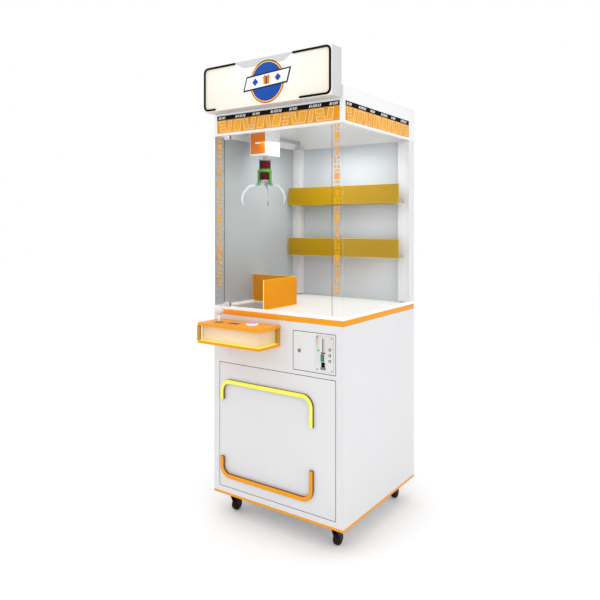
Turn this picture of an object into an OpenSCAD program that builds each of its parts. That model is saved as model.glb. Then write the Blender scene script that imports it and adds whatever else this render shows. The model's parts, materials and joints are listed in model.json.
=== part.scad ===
// Claw crane machine: a cabinet on casters, a glass playfield room with a travelling claw,
// a control panel, a coin door, a prize door and a light box over the front.
// +Z is up and the front faces -Y. The origin is on the floor, under the middle of the whole.

/* [Cabinet] */
// Width of the cabinet
cab_w = 720; // [640:5:900]
// Depth of the cabinet, front to back
cab_d = 700; // [640:5:900]
// Height of the closed lower cabinet
lower_h = 854; // [800:5:1000]
// Height of the glass room, from the playfield trim to the fascia
glass_h = 835; // [740:5:1000]
// Height of the orange trim round the playfield
trim_h = 24; // [16:1:32]
// Height of the base trim
base_trim_h = 12; // [8:1:20]
// Height of the coloured fascia band
fascia_h = 83; // [60:1:100]
// Height of the white roof box over the fascia
roof_h = 62; // [50:1:80]
// Thickness of the folded steel sheet
sheet_t = 2; // [1.5:0.5:3]

/* [Glass] */
// Thickness of the glass
glass_t = 6; // [5:0.5:8]
// Width of each fixed strip beside the glass door
strip_w = 48; // [40:1:70]
// Gap round each door
door_gap = 2.5; // [2:0.5:4]

/* [Sign] */
// Height of the light box
sign_h = 206; // [150:1:260]
// Depth of the light box
sign_d = 78; // [60:1:100]
// How far the light box stands above the roof
sign_rise = 152; // [100:1:180]
// Width of the raised outline bars
outline_w = 9; // [6:1:14]

/* [Control panel] */
// Width of the control panel
panel_w = 366; // [330:1:400]
// How far the control panel stands out
panel_out = 152; // [130:1:200]
// Height between the two panel plates
panel_gap = 68; // [60:1:90]
// Thickness of each panel plate
plate_t = 12; // [8:1:16]
// Diameter of the joystick ball
ball_d = 44; // [34:1:46]
// Diameter of the play button's ring
button_d = 56; // [44:1:64]

/* [Claw] */
// Diameter of the claw's coil
coil_d = 56; // [46:1:58]
// Height of the claw's coil
coil_h = 100; // [90:1:110]
// Reach of an open prong from the middle of the claw
prong_reach = 121; // [100:1:125]
// Drop of an open prong below its pivot
prong_drop = 98; // [85:1:110]

/* [Casters] */
// Height of a caster
caster_h = 100; // [85:1:120]
// Diameter of a caster wheel
wheel_d = 56; // [46:1:64]

/* [Hidden] */
$fn = 48;

// Colours
white = [0.93, 0.93, 0.94];
orange = [0.95, 0.6, 0.09];
amber = [1, 0.62, 0.1];
yellow = [0.99, 0.99, 0.45];
steel = [0.75, 0.76, 0.78];
dark = [0.12, 0.12, 0.13];
clear = [0.8, 0.88, 0.9, 0.35];

// Levels
base_z = caster_h;
lower_z = base_z + base_trim_h;
trim_z = base_z + lower_h;
deck_z = trim_z + trim_h;
fascia_z = deck_z + glass_h;
roof_z = fascia_z + fascia_h;
top_z = roof_z + roof_h;
half_w = cab_w / 2;
front_y = (panel_out - cab_d) / 2;
rear_y = front_y + cab_d;

// Playfield room
rail_w = 20;
rail_h = 14;
floor_t = 8;
floor_z = deck_z + floor_t;
glass_z = deck_z + rail_h;
border_h = 12;
glass_top_z = fascia_z - border_h;
trim_wall = 30;
post_w = 60;
pane_x = half_w - 2;
pane_front_y = front_y + 3;
post_y = rear_y - post_w;
hole_left = -half_w + 38;
hole_right = hole_left + 237;
hole_front = front_y + 34;
hole_back = front_y + 272;
guard_x = hole_right + 6;
guard_y = hole_back + 8;
guard_t = 4;
guard_h = 138;

// Doors of the lower cabinet
frame_t = 3;
prize_left = -half_w + 34;
prize_right = half_w - 36;
prize_bottom = base_z + 37;
prize_top = base_z + 627;
coin_right = prize_right;
coin_left = coin_right - 220;
coin_bottom = base_z + 645.5;
coin_top = coin_bottom + 172.5;
door_t = 18;
prize_axis_y = front_y + 9;
prize_axis_z = prize_top - 9;
rod_r = 4;
running = 0.05;
bin_top = prize_top + 6;
bin_depth = 470;
mark_w = 19;
mark_out = 12;
mark_r = 46;

// Control panel
panel_left = -half_w + 30;
panel_right = panel_left + panel_w;
panel_z = trim_z - 23;
lower_plate_z = panel_z - panel_gap - 2 * plate_t;
stick_x = panel_left + 85;
stick_y = front_y - 92;
pivot_z = panel_z - 30;
ball_z = panel_z + 56;
display_x = panel_left + 163;
display_y = front_y - 78;
display_size = [62, 28];
button_x = panel_left + 262;
button_y = front_y - 72;

// Claw and its carrier
claw_x = -half_w + 165;
claw_y = front_y + 184;
rail_z = fascia_z + 22;
beam_z = rail_z + 4;
beam_h = 20;
beam_d = 30;
box_w = 100;
box_d = 107;
box_h = 120;
box_top = beam_z - 6;
box_z = box_top - box_h;
tube_r = 13;
tube_wall = 1.5;
tube_l = 114;
coil_top = box_z - 16;
coil_z = coil_top - coil_h;
pivot_r = 22;
prong_z = coil_z - 19;
prong_t = 5;
pin_r = 2.5;
link_r = 45;
link_drop = 4;
yoke_z = coil_z + 45;

// Coin door parts
coin_axis_x = coin_right - 7.5;
coin_rod_r = 2.5;
coin_axis_y = front_y + frame_t + coin_rod_r + 0.1;
lock_x = coin_left + 34;
lock_z = (coin_bottom + coin_top) / 2;
lock_r = 8;
selector_w = 60;
selector_h = 124;
selector_x = coin_right - 84;
selector_z = coin_bottom + 25;
coin_slot_x = coin_right - 61;
coin_slot_z = coin_bottom + 95;
return_w = 14;
return_h = 30;
return_x = coin_right - 72;
return_z = coin_bottom + 54;

// Glass door and its pivot
pane_bond = 0.2;
door_edge = pane_x - glass_t - pane_bond - strip_w - door_gap;
door_axis_x = 16.3 - door_edge;
door_axis_y = front_y + 6;
door_pin_r = 4;
door_pin_l = 9;

// Panel fittings
bezel_hole_r = 16;
barrel_r = 14;
cap_r = 21;

// Shelves
shelf_levels = [base_z + 1387, base_z + 1112];
shelf_front_y = front_y + 575;
shelf_h = 95;

// Back of the cabinet
cover_w = 480;
cover_z = base_z + 115;
cover_h = 620;
inlet_x = 120;
inlet_z = base_z + 25;
inlet_w = 48;
inlet_h = 28;

// Sign and fascia
sign_x = cab_w / 2 - 8;
sign_z = top_z + sign_rise - sign_h;
outline_out = 6;
outline_r = 20;
fascia_t = 2;

// Claw details
rail_height = 16;
sleeve_h = 22;
stem_r = tube_r - 2 * tube_wall - 2 * running;
fork_in = 2.8;
fork_t = 3;

// Casters
caster_x = half_w - 74;
caster_front_y = front_y + 58;
caster_rear_y = rear_y - 90;
trail = 22;
wheel_r = wheel_d / 2;
wheel_w = 24;
bolt_x = 24;
bolt_y = 20;
bolt_d = 6.6;
axle_r = 4;
swivel_r = 5;
crown_r = 22;

// ---- Helpers ----

// A block between two opposite corners
module block(from, to) {
    translate(from) cube(to - from);
}

// A pipe or rod along an axis, centred on a point
module rod(at, axis, r, l) {
    turn = axis == "x" ? [0, 90, 0] : axis == "y" ? [90, 0, 0] : [0, 0, 0];
    translate(at) rotate(turn) cylinder(r = r, h = l, center = true);
}

// A rectangular ring of one wall width
module ring(size_x, size_y, wall, from_z, to_z) {
    middle_y = (front_y + rear_y) / 2;
    difference() {
        block([-size_x / 2, middle_y - size_y / 2, from_z], [size_x / 2, middle_y + size_y / 2, to_z]);
        block([-size_x / 2 + wall, middle_y - size_y / 2 + wall, from_z - 1],
              [size_x / 2 - wall, middle_y + size_y / 2 - wall, to_z + 1]);
    }
}

// A flat bar with round ends between two points of a plane
module bar(from, to, w) {
    run = to - from;
    translate(from) rotate(atan2(run.y, run.x)) translate([0, -w / 2]) square([norm(run), w]);
    for (end = [from, to]) translate(end) circle(d = w);
}

// A bent flat bar through a list of points of a plane, with round and slightly fuller bends
module bent_bar(points, w) {
    relief = 0.2;
    for (i = [0 : len(points) - 2]) {
        run = points[i + 1] - points[i];
        translate(points[i]) rotate(atan2(run.y, run.x)) translate([0, -w / 2 + relief]) square([norm(run), w - 2 * relief]);
    }
    for (at = points) translate(at) circle(d = w);
}

// A rounded square plate in a plane
module rounded(size, r) {
    for (x = [r, size.x - r]) for (y = [r, size.y - r]) translate([x, y]) circle(r);
    translate([r, 0]) square([size.x - 2 * r, size.y]);
    translate([0, r]) square([size.x, size.y - 2 * r]);
}

// A quarter of a ring, turned by an angle
module quarter(r, w, turn) {
    rotate(turn) intersection() {
        difference() {
            circle(r + w / 2);
            circle(r - w / 2);
        }
        square(r + w);
    }
}

// A three-sided outline bar: one long side and two legs that point away from it
module bracket(length, left_leg, right_leg, r, w) {
    translate([r, -w / 2]) square([length - 2 * r, w]);
    translate([r, -r]) quarter(r, w, 90);
    translate([length - r, -r]) quarter(r, w, 0);
    translate([-w / 2, -left_leg]) square([w, left_leg - r]);
    translate([length - w / 2, -right_leg]) square([w, right_leg - r]);
}

// Draws a plane shape upright: its first axis along X, its second along Z, its back face at y
module upright(y, t) {
    translate([0, y, 0]) rotate([90, 0, 0]) linear_extrude(t) children();
}

// Places a child on each caster
module at_casters(ys) {
    for (x = [-caster_x, caster_x]) for (y = ys) translate([x, y, 0]) children();
}

// ---- Lower cabinet ----

// Base plate with four welded corner tubes
module chassis() {
    plate_h = 4;
    tube_w = 20;
    inset = 10;
    color(steel) {
        difference() {
            block([-half_w + inset, front_y + inset, base_z], [half_w - inset, rear_y - inset, base_z + plate_h]);
            at_casters([caster_front_y, caster_rear_y])
                for (x = [-24, 24]) for (y = [-20, 20])
                    translate([x, y, base_z - 1]) cylinder(d = 6.6, h = plate_h + 2);
        }
        for (x = [-half_w + inset, half_w - inset - tube_w]) for (y = [front_y + inset, rear_y - inset - tube_w])
            block([x, y, base_z + plate_h], [x + tube_w, y + tube_w, trim_z]);
    }
}

// Orange ring round the foot of the cabinet
module base_trim() {
    color(orange) ring(cab_w, cab_d, 10, base_z, lower_z);
}

// Front sheet with the prize opening, the coin opening and the hinge lugs of both doors
module front_frame() {
    lug_t = 3.5;
    cable_r = 20;
    color(white) {
        difference() {
            block([-half_w, front_y, lower_z], [half_w, front_y + frame_t, trim_z]);
            block([prize_left, front_y - 1, prize_bottom], [prize_right, front_y + frame_t + 1, prize_top]);
            block([coin_left, front_y - 1, coin_bottom], [coin_right, front_y + frame_t + 1, coin_top]);
            rod([panel_left + panel_w / 2, front_y, panel_z - plate_t - panel_gap / 2], "y", cable_r, 20);
        }
        for (x = [prize_left - lug_t / 2 - 0.5, prize_right + lug_t / 2 + 0.5])
            difference() {
                block([x - lug_t / 2, front_y + frame_t, prize_axis_z - 12],
                      [x + lug_t / 2, prize_axis_y + 8, prize_axis_z + 12]);
                rod([x, prize_axis_y, prize_axis_z], "x", rod_r + running, lug_t + 2);
            }
        for (z = [coin_bottom - lug_t / 2 - 0.5, coin_top + lug_t / 2 + 0.5])
            difference() {
                block([coin_axis_x - 8, front_y + frame_t, z - lug_t / 2],
                      [coin_axis_x + 12, front_y + 14, z + lug_t / 2]);
                rod([coin_axis_x, coin_axis_y, z], "z", coin_rod_r + running, lug_t + 2);
            }
    }
}

// Folded sheet round both sides and the back
module cabinet_shell() {
    color(white) difference() {
        block([-half_w, front_y + frame_t, lower_z], [half_w, rear_y, trim_z]);
        block([-half_w + sheet_t, front_y, lower_z - 1], [half_w - sheet_t, rear_y - sheet_t, trim_z + 1]);
        block([-cover_w / 2, rear_y - sheet_t - 1, cover_z], [cover_w / 2, rear_y + 1, cover_z + cover_h]);
        block([inlet_x, rear_y - sheet_t - 1, inlet_z], [inlet_x + inlet_w, rear_y + 1, inlet_z + inlet_h]);
    }
}

// Screwed service cover with louvres
module rear_cover() {
    lip = 10;
    slots = 9;
    slot_w = 160;
    slot_h = 6;
    pitch = 20;
    color(white) difference() {
        union() {
            block([-cover_w / 2 - lip, rear_y - 2 * sheet_t, cover_z - lip],
                  [cover_w / 2 + lip, rear_y - sheet_t, cover_z + cover_h + lip]);
            block([-cover_w / 2 + 1, rear_y - sheet_t, cover_z + 1],
                  [cover_w / 2 - 1, rear_y, cover_z + cover_h - 1]);
        }
        for (i = [0 : slots - 1])
            block([-slot_w / 2, rear_y - 3 * sheet_t, cover_z + cover_h / 2 + i * pitch],
                  [slot_w / 2, rear_y + 1, cover_z + cover_h / 2 + i * pitch + slot_h]);
        for (x = [-cover_w / 2 + 14, cover_w / 2 - 14]) for (z = [cover_z + 14, cover_z + cover_h - 14])
            rod([x, rear_y, z], "y", 2.5, 20);
    }
}

// Orange ring under the playfield
module top_trim() {
    color(orange) ring(cab_w, cab_d, trim_wall, trim_z, deck_z);
}

// White playfield floor with the rail that carries the glass
module playfield_deck() {
    color(white) difference() {
        union() {
            ring(cab_w, cab_d, rail_w, deck_z, glass_z);
            block([-half_w + rail_w, front_y + rail_w, deck_z], [half_w - rail_w, rear_y - rail_w, floor_z]);
        }
        block([hole_left, hole_front, deck_z - 1], [hole_right, hole_back, floor_z + 1]);
        rod([door_axis_x, door_axis_y, glass_z], "z", door_pin_r + running, 2 * door_pin_l + 1);
    }
}

// White duct under the hole in the playfield
module chute_duct() {
    wall = 1.5;
    color(white) difference() {
        block([hole_left - wall, hole_front - wall, bin_top], [hole_right + wall, hole_back + wall, deck_z]);
        block([hole_left, hole_front, bin_top - 1], [hole_right, hole_back, deck_z + 1]);
    }
}

// Prize compartment: open at the front, with a ramp that rolls the prizes to the door
module prize_bin() {
    wall = 1.5;
    bin_x = half_w - 30.5;
    bin_front = front_y + 22;
    bin_back = front_y + bin_depth;
    bin_z = base_z + 4;
    ramp_start = front_y + 180;
    ramp_z = bin_z + 15;
    ramp_top = bin_z + 180;
    color(white) difference() {
        block([-bin_x, bin_front, bin_z], [bin_x, bin_back, bin_top]);
        rotate([90, 0, 90]) translate([0, 0, -bin_x + wall]) linear_extrude(2 * (bin_x - wall))
            polygon([[bin_front - 1, ramp_z], [ramp_start, ramp_z], [bin_back - wall, ramp_top],
                     [bin_back - wall, bin_top - wall], [bin_front - 1, bin_top - wall]]);
        rotate([90, 0, 90]) translate([0, 0, -bin_x + wall]) linear_extrude(2 * (bin_x - wall))
            polygon([[bin_front + 2, bin_z - 1], [bin_front + 2, ramp_z - wall], [ramp_start, ramp_z - wall],
                     [bin_back - wall, ramp_top - wall - 1], [bin_back - wall, bin_z - 1]]);
        block([hole_left, hole_front, bin_top - 10], [hole_right, hole_back, bin_top + 1]);
    }
}

// ---- Glass room ----

// Bent acrylic guard round the chute hole
module chute_guard() {
    color(amber) {
        block([guard_x, front_y + rail_w + 1, floor_z], [guard_x + guard_t, guard_y + guard_t, floor_z + guard_h]);
        block([-half_w + rail_w + 0.3, guard_y, floor_z], [guard_x + 1, guard_y + guard_t, floor_z + guard_h]);
        block([-pane_x + glass_t + 0.5, guard_y, glass_z + 0.5], [guard_x, guard_y + guard_t, floor_z + guard_h]);
    }
}

// Two hollow back posts, the back sheet between them and the shelf brackets
module rear_frame() {
    wall = 3;
    arm_w = 25;
    arm_d = 42;
    arm_t = 3;
    color(white) {
        for (side = [-1, 1]) mirror([side < 0 ? 1 : 0, 0, 0]) {
            difference() {
                block([half_w - post_w, post_y, glass_z], [half_w, rear_y, glass_top_z]);
                block([half_w - post_w + wall, post_y + wall, glass_z - 1],
                      [half_w - wall, rear_y - wall, glass_top_z + 1]);
            }
            for (z = shelf_levels) {
                block([half_w - post_w + 5, post_y - arm_d, z - arm_t], [half_w - post_w + 5 + arm_w, post_y, z]);
                block([half_w - post_w + 5, post_y - arm_t, z - 24], [half_w - post_w + 5 + arm_w, post_y, z]);
            }
        }
        block([-half_w + post_w, rear_y - 2, glass_z], [half_w - post_w, rear_y, glass_top_z]);
    }
}

module mirror_panel() {
    color(steel) block([-half_w + post_w, rear_y - 24, floor_z], [half_w - post_w, rear_y - 20, glass_top_z]);
}

// Side panes and the fixed strips beside the door
module fixed_panes() {
    color(clear) for (side = [0, 1]) mirror([side, 0, 0]) {
        block([pane_x - glass_t, pane_front_y, glass_z], [pane_x, post_y, glass_top_z]);
        block([pane_x - glass_t - pane_bond - strip_w, pane_front_y, glass_z],
              [pane_x - glass_t - pane_bond, pane_front_y + glass_t, glass_top_z]);
    }
}

// Roof box with shallow recesses for the fascia panels
module roof_frame() {
    lid_t = 4;
    wall = 20;
    color(white) difference() {
        block([-half_w, front_y, glass_top_z], [half_w, rear_y, top_z]);
        block([-half_w + wall, front_y + wall, glass_top_z - 1], [half_w - wall, rear_y - wall, top_z - lid_t]);
        fascia_blocks(0, 1);
        rod([door_axis_x, door_axis_y, glass_top_z], "z", door_pin_r + running, 2 * door_pin_l + 1);
    }
}

// The three fascia plates, with an extra depth outwards for cutting their recesses
module fascia_blocks(shrink, extra) {
    block([-half_w + 18, front_y - extra, fascia_z], [half_w - 18, front_y + fascia_t, roof_z]);
    for (side = [0, 1]) mirror([side, 0, 0])
        block([half_w - fascia_t, front_y + 17, fascia_z], [half_w + extra, post_y, roof_z]);
}

module fascia_panels() {
    color(orange) fascia_blocks(0, 0);
}

// LED bars under the roof
module lamp_bars() {
    bar_w = 14;
    bar_h = 10;
    color("white") for (y = [front_y + 70, rear_y - 110])
        block([-half_w + 60, y, top_z - 4 - bar_h], [half_w - 60, y + bar_w, top_z - 4]);
}

// Two acrylic shelves with a tall front lip
module shelves() {
    shelf_t = 4;
    reach = half_w - 25;
    color(amber) for (z = shelf_levels) {
        block([-reach, shelf_front_y, z], [reach, post_y - 0.3, z + shelf_t]);
        block([-half_w + post_w + 0.5, shelf_front_y, z], [half_w - post_w - 0.5, rear_y - 24.3, z + shelf_t]);
        block([-reach, shelf_front_y, z], [reach, shelf_front_y + shelf_t, z + shelf_h]);
    }
}

// ---- Sign ----

module sign_housing() {
    wall = 3;
    color(white) difference() {
        block([-sign_x, front_y - sign_d + 4, sign_z], [sign_x, front_y, sign_z + sign_h]);
        block([-sign_x + wall, front_y - sign_d, sign_z + wall], [sign_x - wall, front_y - wall, sign_z + sign_h - wall]);
    }
}

module sign_face() {
    color([1, 0.95, 0.83]) block([-sign_x, front_y - sign_d, sign_z], [sign_x, front_y - sign_d + 4, sign_z + sign_h]);
}

// Raised black outline: one C at each end of the sign
module sign_outline() {
    inset = outline_w / 2 + 2;
    long_leg = sign_x * 0.53;
    color(dark) upright(front_y - sign_d, outline_out) {
        translate([-sign_x + inset, sign_z + inset]) rotate(90)
            bracket(sign_h - 2 * inset, sign_x * 0.19, long_leg, outline_r, outline_w);
        mirror([1, 0]) translate([-sign_x + inset, sign_z + inset]) rotate(90)
            bracket(sign_h - 2 * inset, sign_x * 0.43, long_leg, outline_r, outline_w);
    }
}

// ---- Claw and its carrier ----

module side_rails() {
    color(steel) for (side = [0, 1]) mirror([side, 0, 0])
        block([half_w - 34, front_y + 24, rail_z], [half_w - 20, rear_y - 24, rail_z + rail_height]);
}

// Beam across the cabinet with a truck over each rail
module bridge_beam() {
    truck_d = 80;
    truck_z = rail_z + rail_height + 0.3;
    color(steel) {
        block([-half_w + 42, claw_y - beam_d / 2, beam_z], [half_w - 42, claw_y + beam_d / 2, beam_z + beam_h]);
        for (side = [0, 1]) mirror([side, 0, 0])
            block([half_w - 54, claw_y - truck_d / 2, truck_z], [half_w - 20.5, claw_y + truck_d / 2, truck_z + 16]);
    }
}

module bridge_motor() {
    color(white) block([-half_w + 55, claw_y + beam_d / 2, beam_z - 88],
                       [-half_w + 97, claw_y + beam_d / 2 + 50, beam_z + beam_h - 2]);
}

// Box that hangs on the beam on two rollers and guides the hoist tubes
module carriage() {
    wall = 2;
    cheek_in = beam_d / 2 + 0.5;
    cheek_t = 3;
    cheek_w = 50;
    roller_r = 5;
    roller_z = beam_z + beam_h + 0.3 + roller_r;
    color(white) translate([claw_x, claw_y, 0]) {
        difference() {
            union() {
                difference() {
                    block([-box_w / 2, -box_d / 2, box_z], [box_w / 2, box_d / 2, box_top]);
                    block([-box_w / 2 + wall, -box_d / 2 + wall, box_z + wall],
                          [box_w / 2 - wall, box_d / 2 - wall, box_top - wall]);
                }
                translate([0, 0, box_z]) cylinder(r = tube_r + 3, h = sleeve_h);
            }
            translate([0, 0, box_z - 1]) cylinder(r = tube_r + running, h = sleeve_h + 2);
        }
        for (side = [0, 1]) mirror([0, side, 0])
            block([-cheek_w / 2, cheek_in, box_top], [cheek_w / 2, cheek_in + cheek_t, roller_z + 7]);
        for (x = [-15, 15]) rod([x, 0, roller_z], "y", roller_r, 2 * cheek_in + 1);
    }
}

// Gear motor of the winch, on the rear wall of the carriage
module winch_motor() {
    motor_r = 16;
    motor_l = 80;
    motor_y = claw_y + box_d / 2 - 2 - motor_r - 3;
    color(dark) {
        rod([claw_x, motor_y, box_z + 70], "x", motor_r, motor_l);
        block([claw_x - 20, motor_y + motor_r - 4, box_z + 60], [claw_x + 20, claw_y + box_d / 2 - 2, box_z + 80]);
    }
}

module pipe(r, wall, from_z, l) {
    translate([claw_x, claw_y, from_z]) difference() {
        cylinder(r = r, h = l);
        translate([0, 0, -1]) cylinder(r = r - wall, h = l + 2);
    }
}

module hoist_tube_outer() {
    color(steel) pipe(tube_r, tube_wall, box_z - 4, tube_l);
}

module hoist_tube_inner() {
    color(steel) pipe(tube_r - tube_wall - running, tube_wall, box_z - 4, tube_l);
}

// Turns a child to each prong's direction
module at_prong(i) {
    translate([claw_x, claw_y, 0]) rotate(i * 120) children();
}

// A plate that stands in the plane of a prong: first axis outwards, second axis up
module radial(t) {
    rotate([90, 0, 0]) translate([0, 0, -t / 2]) linear_extrude(t) children();
}

// Stem, coil cap and the hub with a fork and pin for each prong
module claw_frame() {
    cap_r = coil_d / 2 + 2;
    cap_h = 6;
    hub_h = 8;
    color(steel) {
        translate([claw_x, claw_y, 0]) {
            translate([0, 0, coil_z]) cylinder(r = stem_r, h = box_z - 4 + tube_l - 2 - coil_z);
            translate([0, 0, coil_top - cap_h]) cylinder(r = cap_r, h = cap_h);
            translate([0, 0, coil_z - hub_h]) cylinder(r = coil_d / 2 - 1, h = hub_h);
        }
        for (i = [0 : 2]) at_prong(i) {
            for (side = [0, 1]) mirror([0, side, 0])
                block([14, fork_in, prong_z - 6], [26.5, fork_in + fork_t, coil_z - hub_h + 1]);
            rod([pivot_r, 0, prong_z], "y", pin_r, 2 * (fork_in + fork_t) - 0.5);
        }
    }
}

module claw_coil() {
    color([0.4, 0.02, 0.06]) translate([claw_x, claw_y, coil_z]) difference() {
        cylinder(d = coil_d, h = coil_h - 6);
        translate([0, 0, -1]) cylinder(r = stem_r, h = coil_h + 2);
    }
}

// Ring that slides on the coil, with slotted arms that hold the prongs' outer pins
module claw_yoke() {
    ring_r = coil_d / 2 + 0.3;
    ring_h = 14;
    arm_in = ring_r + 2.7;
    arm_w = 6;
    slot_h = 6.4;
    color([0.3, 0.6, 0.18]) {
        translate([claw_x, claw_y, yoke_z - ring_h / 2]) difference() {
            cylinder(r = ring_r + 4.5, h = ring_h);
            translate([0, 0, -1]) cylinder(r = ring_r, h = ring_h + 2);
        }
        for (i = [0 : 2]) at_prong(i) for (side = [0, 1]) mirror([0, side, 0])
            translate([0, fork_in + fork_t / 2, 0]) radial(fork_t) difference() {
                union() {
                    translate([arm_in, prong_z - link_drop]) square([arm_w, yoke_z - prong_z + link_drop + 5]);
                    bar([37, prong_z - link_drop], [link_r, prong_z - link_drop], 12.4);
                }
                bar([36.6, prong_z - link_drop], [link_r, prong_z - link_drop], slot_h);
            }
    }
}

// One claw prong with its pivot eye, its outer pin and a tip bent inwards
module prong(i) {
    root = [pivot_r, prong_z];
    ear = [link_r, prong_z - link_drop];
    knee = [link_r + 39, prong_z - 15];
    elbow = [prong_reach - 9, prong_z - 47];
    heel = [prong_reach, prong_z - 80];
    tip = [prong_reach - 5, prong_z - prong_drop];
    wide = 11;
    color(steel) at_prong(i) {
        radial(prong_t) difference() {
            bent_bar([root, ear, knee, elbow, heel, tip], wide);
            translate(root) circle(pin_r + running);
        }
        rod([link_r, 0, prong_z - link_drop], "y", 2, 2 * (fork_in + fork_t));
    }
}

module prong_1() { prong(0); }
module prong_2() { prong(1); }
module prong_3() { prong(2); }

// ---- Control panel ----

// Outline of a panel plate, round at its front corners
module plate_outline() {
    r = 14;
    translate([panel_left, front_y - panel_out]) rounded([panel_w, panel_out], r);
    translate([panel_left, front_y - panel_out + r]) square([panel_w, panel_out - r]);
}

module panel_top() {
    color(amber) translate([0, 0, panel_z - plate_t]) linear_extrude(plate_t) difference() {
        plate_outline();
        translate([stick_x, stick_y]) circle(bezel_hole_r);
        translate([button_x, button_y]) circle(barrel_r);
        translate([display_x, display_y] - display_size / 2) square(display_size);
    }
}

// Lower plate with its three corner posts
module panel_bottom() {
    post = 14;
    inset = 2;
    color(amber) {
        translate([0, 0, lower_plate_z]) linear_extrude(plate_t) plate_outline();
        for (at = [[panel_left + inset, front_y - panel_out + inset], [panel_left + inset, front_y - post],
                   [panel_right - inset - post, front_y - post]])
            block([at.x, at.y, lower_plate_z + plate_t], [at.x + post, at.y + post, panel_z - plate_t]);
    }
}

// Lit body between the plates, open at the back
module panel_body() {
    inset = 18;
    wall = 3;
    color([1, 0.93, 0.8]) difference() {
        block([panel_left + inset, front_y - panel_out + inset, lower_plate_z + plate_t],
              [panel_right - inset, front_y, panel_z - plate_t]);
        block([panel_left + inset + wall, front_y - panel_out + inset + wall, lower_plate_z],
              [panel_right - inset - wall, front_y + 1, panel_z]);
    }
}

// Joystick housing with its bezel above the plate
module joystick_housing() {
    side = 56;
    wall = 3;
    tall = 44;
    bezel_h = 5;
    color(dark) translate([stick_x, stick_y, 0]) difference() {
        union() {
            block([-side / 2, -side / 2, panel_z - plate_t - tall], [side / 2, side / 2, panel_z - plate_t]);
            translate([0, 0, panel_z - plate_t - 1]) cylinder(r = bezel_hole_r, h = plate_t + 2);
            translate([0, 0, panel_z]) cylinder(r = 22, h = bezel_h);
        }
        block([-side / 2 + wall, -side / 2 + wall, panel_z - plate_t - tall - 1],
              [side / 2 - wall, side / 2 - wall, panel_z - plate_t - wall]);
        translate([0, 0, panel_z - 30]) cylinder(r = bezel_hole_r - 2, h = 60);
        rod([0, 0, pivot_z], "x", pin_r + running, side + 2);
    }
}

// Gimbal ring on two pins
module joystick_gimbal() {
    ring_out = 13.5;
    ring_in = 10;
    tall = 10;
    color(steel) translate([stick_x, stick_y, pivot_z]) difference() {
        union() {
            translate([0, 0, -tall / 2]) cylinder(r = ring_out, h = tall);
            rod([0, 0, 0], "x", pin_r, 55);
        }
        translate([0, 0, -tall]) cylinder(r = ring_in, h = 2 * tall);
        rod([0, 0, 0], "y", pin_r + running, 4 * ring_out);
    }
}

module joystick_stick() {
    shaft_r = 4.75;
    below = 18;
    color(white) translate([stick_x, stick_y, 0]) {
        translate([0, 0, pivot_z - below]) cylinder(r = shaft_r, h = ball_z - pivot_z + below);
        rod([0, 0, pivot_z], "y", pin_r, 26.6);
        translate([0, 0, ball_z]) sphere(d = ball_d);
    }
}

module panel_display() {
    color([0.05, 0.08, 0.5]) translate([display_x, display_y, panel_z - 20])
        translate(-[display_size.x, display_size.y, 0] / 2) cube([display_size.x, display_size.y, 20.4]);
}

// White ring and barrel of the play button
module button_ring() {
    seat = 1.5;
    rim_h = 10;
    barrel_l = 46;
    color(white) translate([button_x, button_y, panel_z]) difference() {
        union() {
            cylinder(d = button_d, h = rim_h - 3);
            translate([0, 0, rim_h - 3]) cylinder(d1 = button_d, d2 = button_d - 6, h = 3);
            translate([0, 0, -barrel_l]) cylinder(r = barrel_r, h = barrel_l + 1);
        }
        translate([0, 0, seat]) cylinder(r = cap_r + 0.1, h = rim_h);
        translate([0, 0, -barrel_l + 6]) cylinder(r = 8 + running, h = barrel_l);
    }
}

module button_cap() {
    lift = 6;
    tall = 6;
    color([1, 0.55, 0.8]) translate([button_x, button_y, panel_z + lift]) {
        cylinder(r = cap_r, h = tall - 2);
        translate([0, 0, tall - 2]) cylinder(r1 = cap_r, r2 = cap_r - 3, h = 2);
        translate([0, 0, -28]) cylinder(r = 8, h = 29);
    }
}

// ---- Doors ----

// A folded door: a sheet with four flanges, open at the back
module pan(left, right, low, high, depth) {
    difference() {
        block([left, front_y, low], [right, front_y + depth, high]);
        block([left + sheet_t, front_y + sheet_t, low + sheet_t], [right - sheet_t, front_y + depth + 1, high - sheet_t]);
    }
}

// Prize door with the rod it swings on
module prize_door() {
    color(white) {
        pan(prize_left + door_gap, prize_right - door_gap, prize_bottom + door_gap, prize_top - door_gap, door_t);
        rod([(prize_left + prize_right) / 2, prize_axis_y, prize_axis_z], "x", rod_r, prize_right - prize_left + 7);
    }
}

// Raised yellow and orange outlines on the prize door
module door_brackets() {
    length = 506;
    left = prize_left + 25;
    color(yellow) upright(front_y, mark_out) translate([left, base_z + 540])
        bracket(length, 88, 130, mark_r, mark_w);
    color(orange) upright(front_y, mark_out) translate([left, base_z + 96]) mirror([0, 1])
        bracket(length, 86, 130, mark_r, mark_w);
}

module coin_door() {
    depth = 12;
    color(white) difference() {
        union() {
            pan(coin_left + door_gap, coin_right - door_gap, coin_bottom + door_gap, coin_top - door_gap, depth);
            rod([coin_axis_x, coin_axis_y, (coin_bottom + coin_top) / 2], "z", coin_rod_r, coin_top - coin_bottom + 7);
        }
        rod([lock_x, front_y, lock_z], "y", lock_r + running, 8);
        block([selector_x, front_y - 1, selector_z], [selector_x + selector_w, front_y + 3, selector_z + selector_h]);
    }
}

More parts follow.
